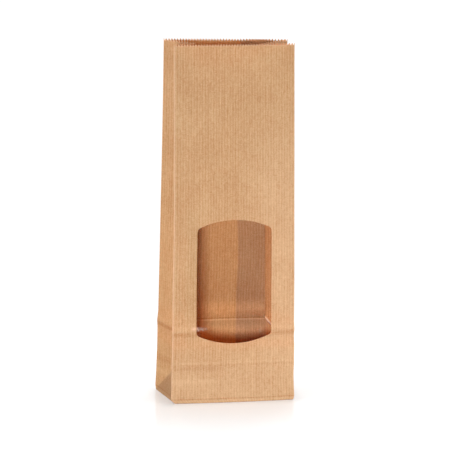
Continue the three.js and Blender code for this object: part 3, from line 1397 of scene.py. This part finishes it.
@dataclass(frozen=True)
class TableTop:
    """White lit table that mirrors the bag faintly close to it, with a painted shadow round its foot.

    The reaches are distances from the bag's rectangle, the front span is a distance in front.
    """

    half_width: float = 35.0
    half_depth: float = 20.0
    white: float = 0.65
    glow: float = 0.43
    # painted shadow round the bag's foot: share of glow taken away, and its reach
    contact_shadow: float = 0.27
    contact_shadow_reach: float = 11.0
    mirror: float = 0.22
    mirror_reach: float = 90.0
    mirror_tone: float = 0.86
    mirror_roughness: float = 0.1
    lit: Span = (78.0, 260.0)
    front: Span = (150.0, 900.0)
    bright: float = 1.06
    dim: float = 0.72

    def material(self) -> bpy.types.Material:
        """Builds the material from the distance to the bag's rectangle.

        Touching the bag the table glows less, as a painted shadow, near it it mirrors, and far off
        it only glows, a little less in front.

        Returns:
            The material.
        """
        graph = Graph(bpy.data.materials.new("white_table"))
        place_x, place_y = graph.parts(graph.node("ShaderNodeTexCoord").outputs["Object"])
        past_x = (place_x.size() - self.half_width).at_least(0.0)
        past_y = (place_y.size() - self.half_depth).at_least(0.0)
        away = (past_x * past_x + past_y * past_y).root()
        matt = graph.shader("ShaderNodeBsdfDiffuse", {"Color": opaque((self.white,) * 3)})
        glow, behind, ahead = (
            graph.shader("ShaderNodeEmission", {"Strength": strength})
            for strength in (self.glow, self.bright, self.dim))
        glowing = graph.shader("ShaderNodeAddShader", {0: matt, 1: glow})
        shade = (1.0 - away.ramp(0.0, self.contact_shadow_reach)) * self.contact_shadow
        gloss = graph.shader("ShaderNodeBsdfGlossy", {
            "Color": opaque((self.mirror_tone,) * 3), "Roughness": self.mirror_roughness})
        share = (1.0 - away.ramp(0.0, self.mirror_reach)) * self.mirror
        near = graph.mix_shaders(share, graph.mix_shaders(shade, glowing, matt), gloss)
        far = graph.mix_shaders((-place_y).ramp(*self.front), behind, ahead)
        return graph.finish(graph.mix_shaders(away.ramp(*self.lit), near, far))


# ---- studio --------------------------------------------------------------------------------


@dataclass(frozen=True)
class SoftBox:
    """A square lamp that faces the bag's middle."""

    name: str
    azimuth: float
    elevation: float
    distance: float
    size: float
    power: float
    aim: float = 0.1

    def place(self) -> None:
        """Hangs the lamp: azimuth from the front normal to the right, elevation from level."""
        turn, rise = np.radians(self.azimuth), np.radians(self.elevation)
        target = Vector((0.0, 0.0, self.aim))
        away = Vector((np.sin(turn) * np.cos(rise), -np.cos(turn) * np.cos(rise), np.sin(rise)))
        lamp = bpy.data.lights.new(self.name, "AREA")
        lamp.energy, lamp.size = self.power, self.size
        holder = bpy.data.objects.new(self.name, lamp)
        facing = away.to_track_quat("Z", "Y").to_matrix().to_4x4()
        holder.matrix_world = Matrix.Translation(target + away * self.distance) @ facing
        holder.visible_camera = False
        bpy.context.scene.collection.objects.link(holder)


@dataclass(frozen=True)
class PhotoCamera:
    """The long lens fitted to the photograph, which is 450 pixels wide."""

    azimuth: float = 14.0169
    distance: float = 2500.0
    height: float = 557.93
    pan: float = -0.0297
    tilt: float = 10.435
    roll: float = 0.9685
    focal_pixels: float = 4518.5
    photo_pixels: float = 450.0
    sensor: float = 36.0
    clip_end: float = 50.0

    def place(self) -> None:
        """Sets the camera up left of the front, looking at the bag and slightly down."""
        turn = np.radians(self.azimuth)
        facing, dip = turn + np.radians(self.pan), np.radians(self.tilt)
        ahead = Vector((np.sin(facing) * np.cos(dip), np.cos(facing) * np.cos(dip),
                        -np.sin(dip)))
        level = Vector((np.cos(facing), -np.sin(facing), 0.0))
        above = level.cross(ahead)
        lean = np.radians(self.roll)
        right = level * np.cos(lean) + above * np.sin(lean)
        up = above * np.cos(lean) - level * np.sin(lean)
        spot = Vector((-self.distance * np.sin(turn), -self.distance * np.cos(turn),
                       self.height)) * MM
        data = bpy.data.cameras.new("photo_camera")
        data.sensor_width = self.sensor
        data.lens = self.focal_pixels * self.sensor / self.photo_pixels
        data.clip_end = self.clip_end
        camera = bpy.data.objects.new("photo_camera", data)
        camera.matrix_world = Matrix((
            (right.x, up.x, -ahead.x, spot.x),
            (right.y, up.y, -ahead.y, spot.y),
            (right.z, up.z, -ahead.z, spot.z),
            (0.0, 0.0, 0.0, 1.0),
        ))
        bpy.context.scene.collection.objects.link(camera)
        bpy.context.scene.camera = camera


@dataclass
class Studio:
    """White table, soft lamps, white surroundings and the camera."""

    table_size: float = 12.0
    surround: float = 0.08
    seen_surround: float = 1.05
    table: TableTop = field(default_factory=TableTop)
    lamps: tuple[SoftBox, ...] = (
        SoftBox("front_lamp", -20.0, 4.0, 3.0, 0.45, 55.5),
        SoftBox("right_lamp", 55.0, 6.0, 0.6, 0.3, 1.6, aim=0.05),
        SoftBox("left_lamp", -85.0, 35.0, 1.2, 0.7, 4.7),
        SoftBox("back_lamp", 165.0, 35.0, 0.7, 0.5, 2.7, aim=0.12),
        SoftBox("top_lamp", 0.0, 90.0, 1.5, 1.2, 15.0),
    )
    camera: PhotoCamera = field(default_factory=PhotoCamera)

    def build_table(self) -> None:
        """Lays the table top at height zero."""
        half = self.table_size / 2
        mesh = bpy.data.meshes.new("table_top")
        mesh.from_pydata(
            [(-half, -half, 0), (half, -half, 0), (half, half, 0), (-half, half, 0)],
            [], [(0, 1, 2, 3)])
        table = bpy.data.objects.new("table_top", mesh)
        table.data.materials.append(self.table.material())
        bpy.context.scene.collection.objects.link(table)

    def build_surround(self) -> None:
        """Surrounds all with soft light, which the camera and mirrors see as plain white."""
        graph = Graph(bpy.data.worlds.new("white_surround"))
        soft, seen = (
            graph.shader("ShaderNodeBackground", {
                "Color": opaque((1.0, 1.0, 1.0)), "Strength": strength})
            for strength in (self.surround, self.seen_surround))
        rays = graph.node("ShaderNodeLightPath").outputs
        camera, mirror = (Value(graph, rays[kind]) for kind in ("Is Camera Ray", "Is Glossy Ray"))
        both = graph.mix_shaders(camera.at_least(mirror), soft, seen)
        graph.node("ShaderNodeOutputWorld", None, {"Surface": both})
        bpy.context.scene.world = graph.owner

    def build(self) -> None:
        """Sets up table, surroundings, lamps, camera and plain display colours."""
        self.build_table()
        self.build_surround()
        for lamp in self.lamps:
            lamp.place()
        self.camera.place()
        view = bpy.context.scene.view_settings
        view.view_transform = "Standard"
        view.look = "None"
        view.exposure = 0.0
        view.gamma = 1.0


# ---- the whole object ----------------------------------------------------------------------


def attach(piece: bpy.types.Object, node: str, material: bpy.types.Material) -> None:
    """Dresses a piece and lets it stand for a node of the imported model.

    Args:
        piece: the piece.
        node: the node it replaces.
        material: its finish.
    """
    piece.data.materials.append(material)
    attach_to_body(piece, "root")
    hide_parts(node)
    log.info("%s stands for %s: %d faces", piece.name, node, len(piece.data.polygons))


def main() -> None:
    """Builds the paper, the film and the studio."""
    logging.basicConfig(level=logging.INFO, format="%(name)s: %(message)s")
    bag = PaperBag()
    attach(bag.build(), "paper_bag", BrownPaper(bag.tube).material())
    film = WindowFilm(bag.tube, bag.window)
    attach(film.build(), "window_film", ClearFilm().material())
    Studio().build()


if __name__ == "__main__":
    main()
